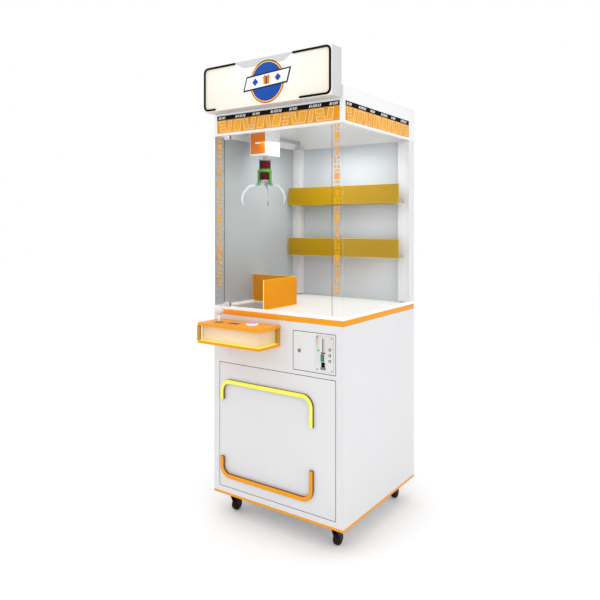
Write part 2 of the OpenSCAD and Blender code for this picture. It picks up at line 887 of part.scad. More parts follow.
// Coin face plate with the coin mechanism behind it
module coin_selector() {
    margin = 13;
    plate = 4;
    depth = 48;
    slot_w = 4;
    color([0.85, 0.84, 0.82]) difference() {
        union() {
            block([selector_x - margin, front_y - plate, selector_z - margin],
                  [selector_x + selector_w + margin, front_y, selector_z + selector_h + margin]);
            block([selector_x, front_y - 1, selector_z], [selector_x + selector_w, front_y + depth, selector_z + selector_h]);
        }
        block([coin_slot_x - slot_w / 2, front_y - plate - 1, coin_slot_z],
              [coin_slot_x + slot_w / 2, front_y + depth - 6, coin_slot_z + 52]);
        block([return_x - 0.3, front_y - plate - 1, return_z - 0.3],
              [return_x + return_w + 0.3, front_y + 12, return_z + return_h + 0.3]);
    }
}

module coin_return() {
    color([0.1, 0.5, 0.4]) block([return_x, front_y - 8, return_z], [return_x + return_w, front_y + 6, return_z + return_h]);
}

// Lock cylinder with its latch
module coin_lock() {
    color(steel) {
        rod([lock_x, front_y + 7, lock_z], "y", lock_r, 17);
        block([lock_x - 30, front_y + 13, lock_z - 6], [lock_x, front_y + 16, lock_z + 6]);
    }
}

// Open cash box behind the coin door
module cash_box() {
    wall = 1.5;
    color(steel) difference() {
        block([coin_left + 5, front_y + 26, bin_top], [coin_left + 105, front_y + 190, bin_top + 110]);
        block([coin_left + 5 + wall, front_y + 26 + wall, bin_top + wall],
              [coin_left + 105 - wall, front_y + 190 - wall, bin_top + 111]);
    }
}

module glass_door() {
    color(clear) block([-door_edge, pane_front_y, glass_z + door_gap],
                       [door_edge, pane_front_y + glass_t, glass_top_z - door_gap]);
}

// Pivot clamps at the top and bottom corner of the glass door
module glass_clamps() {
    clamp_w = 34;
    clamp_h = 18;
    plate = 4;
    left = door_axis_x - 12;
    color(steel) for (level = [glass_z + door_gap, glass_top_z - door_gap - clamp_h]) {
        for (y = [pane_front_y - plate, pane_front_y + glass_t])
            block([left, y, level], [left + clamp_w, y + plate, level + clamp_h]);
    }
    color(steel) for (end = [[glass_z + door_gap, 0], [glass_top_z - door_gap, 1]])
        translate([0, 0, end[0]]) mirror([0, 0, 1 - end[1]]) {
            block([left, pane_front_y - plate, 0], [left + clamp_w, pane_front_y + glass_t + plate, 1]);
            translate([door_axis_x, door_axis_y, 0]) cylinder(r = door_pin_r, h = door_gap + door_pin_l);
        }
}

// ---- Casters ----

// Fork cheeks and axle of one caster, standing on the floor at the swivel axis
module fork() {
    cheek_in = wheel_w / 2 + 0.5;
    cheek_t = 3;
    head_z = caster_h - 13;
    for (side = [0, 1]) mirror([side, 0, 0]) {
        translate([cheek_in, 0, 0]) rotate([90, 0, 90]) linear_extrude(cheek_t)
            polygon([[-16, head_z + 1], [trail - 9.5, wheel_r - 1], [trail + 9.5, wheel_r - 1], [trail + 12, head_z + 1]]);
        rod([cheek_in + cheek_t / 2, trail, wheel_r], "x", 10, cheek_t);
    }
    rod([0, trail, wheel_r], "x", axle_r, 2 * (cheek_in + cheek_t));
    translate([0, 0, head_z]) cylinder(r = crown_r, h = 3);
}

// Bolt plates of all four casters, with the fixed rear forks
module caster_mounts() {
    color(dark) {
        at_casters([caster_front_y, caster_rear_y]) difference() {
            union() {
                block([-34, -29, caster_h - 3], [34, 29, caster_h]);
                translate([0, 0, caster_h - 9.7]) cylinder(r = crown_r + 2, h = 8);
            }
            translate([0, 0, caster_h - 11]) cylinder(r = swivel_r + running, h = 8);
            for (x = [-bolt_x, bolt_x]) for (y = [-bolt_y, bolt_y])
                translate([x, y, caster_h - 4]) cylinder(d = bolt_d, h = 5);
        }
        at_casters([caster_rear_y]) {
            fork();
            translate([0, 0, caster_h - 10.5]) cylinder(r = crown_r, h = 3);
        }
    }
}

module swivel(x) {
    color(dark) translate([x, caster_front_y, 0]) {
        fork();
        translate([0, 0, caster_h - 12]) cylinder(r = swivel_r, h = 8);
    }
}

module caster_fork_left() { swivel(-caster_x); }
module caster_fork_right() { swivel(caster_x); }

module wheel(x, y) {
    color(dark) translate([x, y + trail, wheel_r]) difference() {
        union() {
            rod([0, 0, 0], "x", wheel_r, wheel_w - 6);
            rod([0, 0, 0], "x", wheel_r - 3, wheel_w);
        }
        rod([0, 0, 0], "x", axle_r + running, wheel_w + 2);
    }
}

module caster_wheel_front_left() { wheel(-caster_x, caster_front_y); }
module caster_wheel_front_right() { wheel(caster_x, caster_front_y); }
module caster_wheel_rear_left() { wheel(-caster_x, caster_rear_y); }
module caster_wheel_rear_right() { wheel(caster_x, caster_rear_y); }

// ---- Electrics ----

// Power supply with the mains inlet behind the back sheet
module power_supply() {
    color(steel) {
        block([inlet_x - 50, rear_y - 190, base_z + 4], [inlet_x + 90, rear_y - 60, base_z + 65]);
        difference() {
            block([inlet_x, rear_y - 61, inlet_z], [inlet_x + inlet_w, rear_y, inlet_z + inlet_h]);
            block([inlet_x + 8, rear_y - 16, inlet_z + 5], [inlet_x + inlet_w - 8, rear_y + 1, inlet_z + inlet_h - 5]);
        }
    }
}

// Control board on stand-offs behind the prize compartment
module control_board() {
    board_x = -200;
    board_y = front_y + bin_depth + 10;
    board_z = base_z + 235;
    board_w = 240;
    board_h = 180;
    edge = 10;
    chip = 36;
    color([0.1, 0.4, 0.2]) {
        block([board_x, board_y, board_z], [board_x + board_w, board_y + 2, board_z + board_h]);
        for (x = [board_x + edge, board_x + board_w - edge]) for (z = [board_z + edge, board_z + board_h - edge])
            rod([x, board_y - 4.5, z], "y", 4, 11);
        for (i = [1 : 3]) block([board_x - 20 + 60 * i, board_y + 1, board_z + 50],
                                [board_x - 20 + 60 * i + chip, board_y + 12, board_z + 50 + chip + 14]);
    }
}

chassis();
base_trim();
front_frame();
cabinet_shell();
rear_cover();
top_trim();
playfield_deck();
chute_duct();
prize_bin();
chute_guard();
rear_frame();
mirror_panel();
fixed_panes();
roof_frame();
fascia_panels();
sign_housing();
sign_face();
sign_outline();
lamp_bars();
shelves();
side_rails();
panel_top();
panel_bottom();
panel_body();
joystick_housing();
panel_display();
button_ring();
cash_box();
caster_mounts();
power_supply();
control_board();
bridge_beam();
bridge_motor();
carriage();
winch_motor();
hoist_tube_outer();
hoist_tube_inner();
claw_frame();
claw_coil();
claw_yoke();
prong_1();
prong_2();
prong_3();
joystick_gimbal();
joystick_stick();
button_cap();
coin_door();
coin_selector();
coin_return();
coin_lock();
prize_door();
door_brackets();
glass_door();
glass_clamps();
caster_fork_left();
caster_fork_right();
caster_wheel_front_left();
caster_wheel_front_right();
caster_wheel_rear_left();
caster_wheel_rear_right();
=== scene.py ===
# Looks of the claw crane machine: finishes, glass, prints, lights and camera round the fixed frame.
import json
import math
import bpy
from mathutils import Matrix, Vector

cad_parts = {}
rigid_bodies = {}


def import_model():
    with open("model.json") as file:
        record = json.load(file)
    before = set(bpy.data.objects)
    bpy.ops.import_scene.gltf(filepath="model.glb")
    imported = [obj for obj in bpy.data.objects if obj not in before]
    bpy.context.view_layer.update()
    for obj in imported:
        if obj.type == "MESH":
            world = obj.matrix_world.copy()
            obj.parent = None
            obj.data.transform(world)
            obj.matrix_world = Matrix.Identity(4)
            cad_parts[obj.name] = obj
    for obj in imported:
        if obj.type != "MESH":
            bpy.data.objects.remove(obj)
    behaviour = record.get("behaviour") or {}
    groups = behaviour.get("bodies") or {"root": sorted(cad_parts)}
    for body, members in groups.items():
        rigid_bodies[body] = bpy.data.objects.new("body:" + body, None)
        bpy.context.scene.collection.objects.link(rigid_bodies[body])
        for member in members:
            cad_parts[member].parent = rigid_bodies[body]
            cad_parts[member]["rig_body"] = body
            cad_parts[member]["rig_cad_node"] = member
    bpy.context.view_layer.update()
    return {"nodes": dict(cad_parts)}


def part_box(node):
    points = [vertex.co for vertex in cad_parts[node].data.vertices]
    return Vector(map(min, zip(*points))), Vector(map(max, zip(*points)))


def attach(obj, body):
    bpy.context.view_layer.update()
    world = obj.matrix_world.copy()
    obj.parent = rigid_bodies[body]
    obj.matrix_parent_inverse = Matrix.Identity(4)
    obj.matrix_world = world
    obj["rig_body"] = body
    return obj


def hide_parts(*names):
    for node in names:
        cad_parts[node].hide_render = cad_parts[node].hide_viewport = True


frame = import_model()
print("frame loaded:", len(frame["nodes"]), "nodes")

mm = 0.001


def deselect():
    if bpy.context.object and bpy.context.object.mode != "OBJECT":
        bpy.ops.object.mode_set(mode="OBJECT")
    bpy.ops.object.select_all(action="DESELECT")


def activate(piece):
    deselect()
    piece.hide_set(False)
    piece.select_set(True)
    bpy.context.view_layer.objects.active = piece


def freeze(piece):  # puts the piece's place into its mesh
    activate(piece)
    bpy.ops.object.transform_apply(location=True, rotation=True, scale=True)


def runModifier(piece, kind, **settings):
    activate(piece)
    modifier = piece.modifiers.new(kind.title(), kind)
    for key, value in settings.items():
        setattr(modifier, key, value)
    bpy.ops.object.modifier_apply(modifier=modifier.name)


def roundEdges(piece, width, segments=2, angle=35):
    if width > 0:
        runModifier(piece, "BEVEL", width=width, segments=segments, limit_method="ANGLE",
                    angle_limit=math.radians(angle), use_clamp_overlap=True)
    activate(piece)
    bpy.ops.object.shade_smooth_by_angle(angle=math.radians(32))


def paint(piece, *finishes):
    piece.data.materials.clear()
    for finish in finishes:
        piece.data.materials.append(finish)


def paintFaces(piece, index, test):  # gives the faces that pass a test another finish
    for face in piece.data.polygons:
        if test(face):
            face.material_index = index


def copyNode(node, name):  # a merged copy of a CAD node with its flat faces whole again
    piece = frame["nodes"][node].copy()
    piece.data = piece.data.copy()
    piece.name = name
    piece.parent = None
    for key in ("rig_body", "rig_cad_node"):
        if key in piece:
            del piece[key]
    bpy.context.scene.collection.objects.link(piece)
    activate(piece)
    bpy.ops.object.mode_set(mode="EDIT")
    bpy.ops.mesh.select_all(action="SELECT")
    bpy.ops.mesh.remove_doubles(threshold=1e-6)
    bpy.ops.mesh.dissolve_limited(angle_limit=math.radians(0.5))
    bpy.ops.object.mode_set(mode="OBJECT")
    return piece


def soften(node, body, finish, width=1 * mm, segments=2):  # the node with rounded edges
    piece = copyNode(node, node + "_skin")
    roundEdges(piece, width, segments)
    paint(piece, finish)
    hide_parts(node)
    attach(piece, body)
    return piece


def block(name, low, high, width=1 * mm, segments=2):
    low, high = Vector(low), Vector(high)
    deselect()
    bpy.ops.mesh.primitive_cube_add(size=1, location=(low + high) / 2, scale=high - low)
    piece = bpy.context.object
    piece.name = name
    freeze(piece)
    roundEdges(piece, width, segments)
    return piece


def rod(name, start, end, radius, width=0.5 * mm, sides=48):
    start, end = Vector(start), Vector(end)
    deselect()
    bpy.ops.mesh.primitive_cylinder_add(vertices=sides, radius=radius, depth=(end - start).length,
                                        location=(start + end) / 2,
                                        rotation=(end - start).to_track_quat("Z", "Y").to_euler())
    piece = bpy.context.object
    piece.name = name
    freeze(piece)
    roundEdges(piece, width, 2, 50)
    return piece


def join(name, pieces):
    activate(pieces[0])
    for piece in pieces:
        piece.select_set(True)
    bpy.ops.object.join()
    joined = bpy.context.object
    joined.name = name
    return joined


def separate(piece):  # the loose parts of a piece, as pieces of their own
    activate(piece)
    bpy.ops.object.mode_set(mode="EDIT")
    bpy.ops.mesh.select_all(action="SELECT")
    bpy.ops.mesh.separate(type="LOOSE")
    bpy.ops.object.mode_set(mode="OBJECT")
    return list(bpy.context.selected_objects)


def middle(piece):
    corners = [Vector(corner) for corner in piece.bound_box]
    return sum(corners, Vector()) / 8


def newFinish(name):
    finish = bpy.data.materials.new(name)
    finish.use_nodes = True
    nodes = finish.node_tree.nodes
    return finish, nodes, finish.node_tree.links, nodes["Principled BSDF"]


def objectNoise(nodes, links, scale, detail=3, stretch=None):
    place = nodes.new("ShaderNodeTexCoord")
    noise = nodes.new("ShaderNodeTexNoise")
    noise.inputs["Scale"].default_value = scale
    noise.inputs["Detail"].default_value = detail
    if stretch:
        mapping = nodes.new("ShaderNodeMapping")
        mapping.inputs["Scale"].default_value = stretch
        links.new(place.outputs["Object"], mapping.inputs["Vector"])
        links.new(mapping.outputs["Vector"], noise.inputs["Vector"])
    else:
        links.new(place.outputs["Object"], noise.inputs["Vector"])
    return noise


def ramp(nodes, links, source, low, high, start=0.3, end=0.7):
    colours = nodes.new("ShaderNodeValToRGB")
    colours.color_ramp.elements[0].position = start
    colours.color_ramp.elements[1].position = end
    colours.color_ramp.elements[0].color = (*low, 1)
    colours.color_ramp.elements[1].color = (*high, 1)
    links.new(source, colours.inputs["Fac"])
    return colours


def shade(colour, factor):
    return tuple(min(1, part * factor) for part in colour)


def toneBetween(nodes, links, noise, colour, spread):  # a little darker and lighter than one colour
    return ramp(nodes, links, noise.outputs["Fac"], shade(colour, 1 - spread), shade(colour, 1 + spread))


def spanOf(nodes, links, source, low, high, socket):  # a 0..1 value stretched to a range of its own
    span = nodes.new("ShaderNodeMapRange")
    span.inputs["To Min"].default_value = low
    span.inputs["To Max"].default_value = high
    links.new(source, span.inputs["Value"])
    links.new(span.outputs["Result"], socket)


# A painted or moulded surface: faint cloudiness in its colour, a fine peel in its gloss and surface
def coated(name, colour, roughness=0.35, spread=0.04, peel=0.02, peelScale=900,
           metallic=0.0, coat=0.0, gloss=0.5):
    finish, nodes, links, surface = newFinish(name)
    cloud = objectNoise(nodes, links, 6)
    tone = toneBetween(nodes, links, cloud, colour, spread)
    links.new(tone.outputs["Color"], surface.inputs["Base Color"])
    fine = objectNoise(nodes, links, peelScale, 2)
    spanOf(nodes, links, cloud.outputs["Fac"], roughness - 0.05, roughness + 0.05, surface.inputs["Roughness"])
    bump = nodes.new("ShaderNodeBump")
    bump.inputs["Strength"].default_value = peel
    bump.inputs["Distance"].default_value = 0.0005
    links.new(fine.outputs["Fac"], bump.inputs["Height"])
    links.new(bump.outputs["Normal"], surface.inputs["Normal"])
    surface.inputs["Metallic"].default_value = metallic
    surface.inputs["Coat Weight"].default_value = coat
    surface.inputs["Coat Roughness"].default_value = 0.08
    surface.inputs["Specular IOR Level"].default_value = gloss
    return finish


# Metal with fine lines drawn along one direction
def brushed(name, colour, roughness=0.28, along=(1, 1, 40), spread=0.08):
    finish, nodes, links, surface = newFinish(name)
    lines = objectNoise(nodes, links, 60, 4, along)
    tone = toneBetween(nodes, links, lines, colour, spread)
    links.new(tone.outputs["Color"], surface.inputs["Base Color"])
    spanOf(nodes, links, lines.outputs["Fac"], roughness - 0.06, roughness + 0.08, surface.inputs["Roughness"])
    surface.inputs["Metallic"].default_value = 1.0
    return finish


# See-through sheet: nearly clear face on, more of its own colour and gloss at a low angle
def sheer(name, colour, clearness, roughness=0.03, glow=0.0, spread=0.05, edgeGain=0.5, gloss=0.8):
    finish, nodes, links, surface = newFinish(name)
    cloud = objectNoise(nodes, links, 4)
    tone = toneBetween(nodes, links, cloud, colour, spread)
    links.new(tone.outputs["Color"], surface.inputs["Base Color"])
    surface.inputs["Roughness"].default_value = roughness
    surface.inputs["Specular IOR Level"].default_value = gloss
    slant = nodes.new("ShaderNodeLayerWeight")
    slant.inputs["Blend"].default_value = 0.35
    body = 1 - clearness
    spanOf(nodes, links, slant.outputs["Fresnel"], body, min(1, body + edgeGain), surface.inputs["Alpha"])
    if glow:
        links.new(tone.outputs["Color"], surface.inputs["Emission Color"])
        surface.inputs["Emission Strength"].default_value = glow
    finish.surface_render_method = "BLENDED"
    return finish


# A diffuser lit from behind: brighter in the middle of the piece than near its rim
def lit(name, colour, rim, strength, centre, reach, roughness=0.35, gloss=0.5):
    finish, nodes, links, surface = newFinish(name)
    place = nodes.new("ShaderNodeTexCoord")
    mapping = nodes.new("ShaderNodeMapping")
    mapping.vector_type = "TEXTURE"
    mapping.inputs["Location"].default_value = centre
    mapping.inputs["Scale"].default_value = reach
    ball = nodes.new("ShaderNodeTexGradient")
    ball.gradient_type = "SPHERICAL"
    links.new(place.outputs["Object"], mapping.inputs["Vector"])
    links.new(mapping.outputs["Vector"], ball.inputs["Vector"])
    tone = ramp(nodes, links, ball.outputs["Fac"], rim, colour, 0.0, 0.75)
    links.new(tone.outputs["Color"], surface.inputs["Base Color"])
    links.new(tone.outputs["Color"], surface.inputs["Emission Color"])
    surface.inputs["Emission Strength"].default_value = strength
    surface.inputs["Roughness"].default_value = roughness
    surface.inputs["Specular IOR Level"].default_value = gloss
    return finish


# Copper winding under varnish: fine turns one above the other, painted lighter on each turn and darker between turns
# as painted highlight and shade
def wound(name, colour, pitch):
    finish, nodes, links, surface = newFinish(name)
    place = nodes.new("ShaderNodeTexCoord")
    turns = nodes.new("ShaderNodeTexWave")
    turns.wave_type = "BANDS"
    turns.bands_direction = "Z"
    turns.inputs["Scale"].default_value = 0.314 / pitch  # one band for each turn
    turns.inputs["Distortion"].default_value = 0.3
    links.new(place.outputs["Object"], turns.inputs["Vector"])
    # painted highlight on each turn and painted shade in the grooves between turns
    tone = ramp(nodes, links, turns.outputs["Fac"], shade(colour, 0.6), shade(colour, 1.4), 0.1, 0.9)
    links.new(tone.outputs["Color"], surface.inputs["Base Color"])
    bump = nodes.new("ShaderNodeBump")
    bump.inputs["Strength"].default_value = 0.5
    bump.inputs["Distance"].default_value = 0.0006
    links.new(turns.outputs["Fac"], bump.inputs["Height"])
    links.new(bump.outputs["Normal"], surface.inputs["Normal"])
    surface.inputs["Roughness"].default_value = 0.45
    surface.inputs["Specular IOR Level"].default_value = 0.06
    return finish


whiteCoat = coated("whiteCoat", (0.70, 0.70, 0.715), 0.42, 0.012)
whiteBoard = coated("whiteBoard", (0.93, 0.93, 0.92), 0.4, 0.006, 0.01)
roofWhite = coated("roofWhite", (0.80, 0.80, 0.80), 0.4, 0.01)
gapShadow = coated("gapShadow", (0.03, 0.03, 0.033), 0.8, 0.1, gloss=0.05)
signGrey = coated("signGrey", (0.56, 0.58, 0.58), 0.4, 0.015)
orangeCoat = coated("orangeCoat", (0.83, 0.32, 0.006), 0.45, 0.03, gloss=0.2)
yellowPaint = coated("yellowPaint", (0.87, 0.88, 0.12), 0.4, 0.02, gloss=0.25)
# darker copies of the outline paints: painted shade for the sides of the raised door outlines
yellowSideShade = coated("yellowSideShade", (0.16, 0.11, 0.015), 0.5, 0.05)
orangeSideShade = coated("orangeSideShade", (0.20, 0.07, 0.01), 0.5, 0.05)
blackPlastic = coated("blackPlastic", (0.010, 0.010, 0.011), 0.35, 0.1, 0.03, gloss=0.3)
casterBlack = coated("casterBlack", (0.012, 0.006, 0.005), 0.4, 0.15, 0.05, gloss=0.18)
rubberBlack = coated("rubberBlack", (0.014, 0.007, 0.006), 0.6, 0.2, 0.12, 700, gloss=0.12)
boardGreen = coated("boardGreen", (0.02, 0.14, 0.05), 0.4, 0.15)
greenCoat = coated("greenCoat", (0.065, 0.29, 0.035), 0.35, 0.05, gloss=0.15)
returnGreen = coated("returnGreen", (0.01, 0.16, 0.12), 0.25, 0.1, coat=0.5)
buttonWhite = coated("buttonWhite", (0.86, 0.86, 0.88), 0.25, 0.01, coat=0.4)
zinc = brushed("zinc", (0.62, 0.63, 0.64), 0.4, (1, 40, 1), 0.12)
zincDark = brushed("zincDark", (0.22, 0.22, 0.23), 0.4, (1, 40, 1), 0.1)
steelRail = brushed("steelRail", (0.55, 0.56, 0.58), 0.25, (1, 1, 30))
coinSteel = brushed("coinSteel", (0.72, 0.71, 0.68), 0.32, (40, 1, 1), 0.05)
chrome = brushed("chrome", (0.78, 0.79, 0.8), 0.14, (1, 1, 6), 0.03)
mirrorFilm = coated("mirrorFilm", (0.61, 0.645, 0.67), 0.3, 0.008, 0.0, metallic=0.2, gloss=0.3)
# near-black finish, also used as painted shade in the coin slot, the selector's openings and the return cup's mouth
blackAndShade = coated("blackAndShade", (0.006, 0.006, 0.006), 0.8, 0.2, gloss=0.05)
clearGlass = sheer("clearGlass", (0.55, 0.65, 0.66), 0.995, edgeGain=0.03)
# the far side pane: grey as painted shade and reflection
shadedFarGlass = sheer("shadedFarGlass", (0.43, 0.46, 0.475), 0.1, roughness=0.5, edgeGain=0.05, gloss=0.15)
# dark edge finish: painted shade on the upright glass edges round the door
glassEdgeShade = sheer("glassEdgeShade", (0.07, 0.05, 0.03), 0.2, roughness=0.4, edgeGain=0.05, gloss=0.1)
paleEdge = sheer("paleEdge", (0.62, 0.70, 0.68), 0.88, roughness=0.2, edgeGain=0.05, gloss=0.3)
amberSheet = sheer("amberSheet", (0.385, 0.225, 0.0), 0.05, roughness=0.5, edgeGain=0.03, gloss=0.03)
# the chute guard's sheet has a faint painted glow
guardSheet = sheer("guardSheet", (0.76, 0.285, 0.0), 0.09, roughness=0.4, glow=0.05, spread=0.14,
                   edgeGain=0.03, gloss=0.05)
# painted glow: the acrylic cut edges and the ledge under the panel body shine though they are no lamp
amberPaintedGlow = sheer("amberPaintedGlow", (1.0, 0.78, 0.05), 0.1, roughness=0.15, glow=0.5, edgeGain=0.1)
amberPlate = coated("amberPlate", (0.83, 0.325, 0.01), 0.4, 0.06, 0.01, gloss=0.12)
goldPost = coated("goldPost", (0.50, 0.26, 0.012), 0.25, 0.1, 0.01, coat=0.3)
orangeInk = sheer("orangeInk", (0.86, 0.42, 0.03), 0.4, roughness=0.5, edgeGain=0.05, gloss=0.1)
whiteInk = coated("whiteInk", (0.88, 0.88, 0.86), 0.4, 0.02)
orangeInkSolid = coated("orangeInkSolid", (0.72, 0.31, 0.02), 0.45, 0.08, gloss=0.15)
labelOrange = coated("labelOrange", (0.78, 0.20, 0.006), 0.5, 0.04, gloss=0.1)
orangeInkDeep = coated("orangeInkDeep", (0.82, 0.38, 0.03), 0.45, 0.08, gloss=0.15)
paleInk = coated("paleInk", (0.92, 0.66, 0.36), 0.4, 0.04)
inkBlack = coated("inkBlack", (0.006, 0.006, 0.007), 0.8, 0.1, 0.01, gloss=0.08)
navyInk = coated("navyInk", (0.008, 0.015, 0.09), 0.5, 0.06, gloss=0.15)
redInk = coated("redInk", (0.62, 0.03, 0.02), 0.45, 0.05, gloss=0.15)
yellowInk = coated("yellowInk", (0.92, 0.58, 0.02), 0.45, 0.04, gloss=0.15)
blueInk = coated("blueInk", (0.006, 0.07, 0.36), 0.45, 0.06, gloss=0.15)
tipGrey = coated("tipGrey", (0.20, 0.21, 0.22), 0.45, 0.05, gloss=0.3)
ballWhite = coated("ballWhite", (0.70, 0.68, 0.69), 0.15, 0.02, 0.0, coat=0.4)
lensGreen = coated("lensGreen", (0.02, 0.42, 0.12), 0.15, 0.1, 0.0, coat=0.6)
prongSteel = coated("prongSteel", (0.58, 0.59, 0.60), 0.35, 0.02, 0.0, metallic=0.5)
frameSteel = brushed("frameSteel", (0.40, 0.41, 0.43), 0.3, (1, 1, 6), 0.05)
coilWinding = wound("coilWinding", (0.06, 0.0, 0.002), 1.6 * mm)
print("finishes made")


def carryOver(finish, *nodes):  # a CAD node whose shape is right keeps it and takes a finish
    for node in nodes:
        paint(frame["nodes"][node], finish)


carryOver(zinc, "chassis", "cash_box", "power_supply", "joystick_gimbal")
carryOver(boardGreen, "control_board")
carryOver(steelRail, "side_rails", "bridge_beam")
carryOver(chrome, "hoist_tube_outer", "hoist_tube_inner")
carryOver(blackPlastic, "winch_motor")
carryOver(whiteCoat, "chute_duct", "prize_bin")

cabinet = {"openingMargin": 5 * mm,  # faces further in than this belong to the door openings
           "edges": (("base_trim", orangeCoat, 1.2 * mm), ("top_trim", orangeCoat, 1.5 * mm),
                     ("front_frame", whiteCoat, 0.6 * mm), ("cabinet_shell", whiteCoat, 0.8 * mm),
                     ("rear_cover", whiteCoat, 0.6 * mm), ("playfield_deck", whiteBoard, 1.0 * mm),
                     ("rear_frame", whiteCoat, 1.2 * mm), ("roof_frame", roofWhite, 1.5 * mm),
                     ("sign_housing", signGrey, 1.0 * mm), ("mirror_panel", mirrorFilm, 0.6 * mm))}
for node, finish, width in cabinet["edges"]:
    soften(node, "cabinet", finish, width)
frontSheet = bpy.data.objects["front_frame_skin"]
frontSheet.data.materials.append(gapShadow)
sheetLow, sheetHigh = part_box("front_frame")


def isOpeningEdge(face):  # the sheet's cut edges round the two doors
    margin = cabinet["openingMargin"]
    return (abs(face.normal.y) < 0.5 and abs(face.center.x) < sheetHigh.x - margin
            and sheetLow.z + margin < face.center.z < sheetHigh.z - margin)


paintFaces(frontSheet, 1, isOpeningEdge)
print("cabinet skins made")


glass = {"edgeWidth": 0.5 * mm, "edgeShare": 0.02, "sidePaneDepth": 0.2,
         "bandPitch": 34 * mm, "bandWidth": 26 * mm, "bandFill": 0.9, "inkThickness": 0.4 * mm, "inkSunk": 0.1 * mm,
         "bandLifts": (("left", 64 * mm), ("right", 63 * mm)),
         "bandShapes": (  # bars as left, right, bottom and top, in shares of half a pitch
             ((-1, 1, -0.9, 0.9),),
             ((-1, -0.45, -0.9, 0.9), (0.0, 1, 0.35, 0.9), (0.0, 1, -0.9, -0.35)),
             ((-1, 1, 0.3, 0.9), (-1, 1, -0.9, -0.3)),
             ((-1, -0.25, -0.1, 0.9), (0.25, 1, -0.1, 0.9), (-1, 1, -0.9, -0.5)),
             ((-0.4, 0.4, -0.9, 0.9), (0.6, 1, -0.4, 0.4)))}


# Clear faces and narrow edge faces; the upright edges round the door get painted shade
def glaze(piece, body, finish, darkSide=None):
    roundEdges(piece, glass["edgeWidth"], 1)
    paint(piece, finish, paleEdge, glassEdgeShade)
    largest = max(face.area for face in piece.data.polygons)
    paintFaces(piece, 1, lambda face: face.area < largest * glass["edgeShare"])
    if darkSide:
        paintFaces(piece, 2, lambda face: face.material_index == 1 and face.normal.x * darkSide(face) > 0.9)
    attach(piece, body)


panes = separate(copyNode("fixed_panes", "pane"))
for pane in panes:
    centre = middle(pane)
    sidePane = pane.dimensions.y > glass["sidePaneDepth"]
    onLeft = centre.x < 0
    pane.name = ("side_pane_" if sidePane else "fixed_strip_") + ("left" if onLeft else "right")
    # the left side pane gets the grey glass with painted shade and reflection
    glaze(pane, "cabinet", shadedFarGlass if sidePane and onLeft else clearGlass,
          None if sidePane else (lambda face: 1 if face.center.x < 0 else -1))
    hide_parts("fixed_panes")
doorGlass = copyNode("glass_door", "glass_door_pane")
glaze(doorGlass, "glass_hatch", clearGlass, lambda face: 1 if face.center.x > 0 else -1)
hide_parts("glass_door")
soften("glass_clamps", "glass_hatch", zinc, 0.8 * mm)


# Plain blocks and bars printed down each fixed strip, in a rule of five shapes
def printedBand(name, low, high):
    shapes = []
    back = low.y + glass["inkSunk"]
    front = back - glass["inkThickness"]
    half = glass["bandWidth"] / 2
    reach = glass["bandPitch"] / 2 * glass["bandFill"]
    centreX = (low.x + high.x) / 2
    for i in range(int((high.z - low.z) / glass["bandPitch"])):
        z = high.z - glass["bandPitch"] * (i + 0.5)
        for left, right, bottom, top in glass["bandShapes"][(i * 7 + 3) % 5]:
            shapes.append(block("ink", (centreX + left * half, front, z + bottom * reach),
                                (centreX + right * half, back, z + top * reach), 0))
    band = join(name, shapes)
    paint(band, orangeInk)
    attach(band, "cabinet")


def stripBox(side):
    for pane in panes:
        if pane.name == "fixed_strip_" + side:
            corners = [Vector(corner) for corner in pane.bound_box]
            low = Vector(min(c[i] for c in corners) for i in range(3))
            high = Vector(max(c[i] for c in corners) for i in range(3))
            return low, high


for side, lift in glass["bandLifts"]:
    low, high = stripBox(side)
    printedBand("strip_print_" + side, Vector((low.x, low.y, low.z + lift)), Vector((high.x, low.y, high.z)))
print("glass made")


fascia = {"blackHeight": 21 * mm, "inkOut": 0.6 * mm, "plateDeep": 2 * mm, "plateEdge": 0.3 * mm,
          "frontInset": 18 * mm, "sideInset": 17 * mm, "slant": 10 * mm, "blockGap": 4 * mm,
          "blockWidths": (38 * mm, 22 * mm, 44 * mm, 30 * mm, 26 * mm), "blockStart": 12 * mm, "blockRoom": 50 * mm,
          "wholeRow": ((0.08, 0.92),), "splitRows": ((0.08, 0.44), (0.56, 0.92)),  # shares of the band's height
          "rimWide": 3 * mm, "rimTall": 2.4 * mm, "fillOut": 0.1 * mm,
          "tickStart": 10 * mm, "tickGroup": 104 * mm, "tickPitch": 9 * mm, "tickRoom": 12 * mm,
          "tickWidths": (5 * mm, 3 * mm, 4 * mm), "tickLow": 4.5 * mm, "tickHigh": 5 * mm, "tickSlant": 4 * mm}


# A leaning bar laid on a fascia face
def slantedBar(name, axis, start, length, low, high, face, slant, finish):
    bar = block(name, (-0.5, -0.5, -0.5), (0.5, 0.5, 0.5), 0)
    for point in bar.data.vertices:
        along = start + (point.co.x + 0.5) * length + (slant if point.co.z > 0 else 0)
        height = high if point.co.z > 0 else low
        depth = face[0] if point.co.y < 0 else face[1]
        point.co = Vector((along, depth, height)) if axis == "x" else Vector((depth, along, height))
    paint(bar, finish)
    if axis == "y":
        activate(bar)
        bpy.ops.object.mode_set(mode="EDIT")
        bpy.ops.mesh.select_all(action="SELECT")
        bpy.ops.mesh.normals_make_consistent(inside=False)
        bpy.ops.object.mode_set(mode="OBJECT")
    return bar


def fasciaPlate(name, axis, start, end, depth, low, high, finish):
    if axis == "x":
        plate = block(name, (start, depth[0], low), (end, depth[1], high), fascia["plateEdge"])
    else:
        plate = block(name, (depth[0], start, low), (depth[1], end, high), fascia["plateEdge"])
    paint(plate, finish)
    return plate


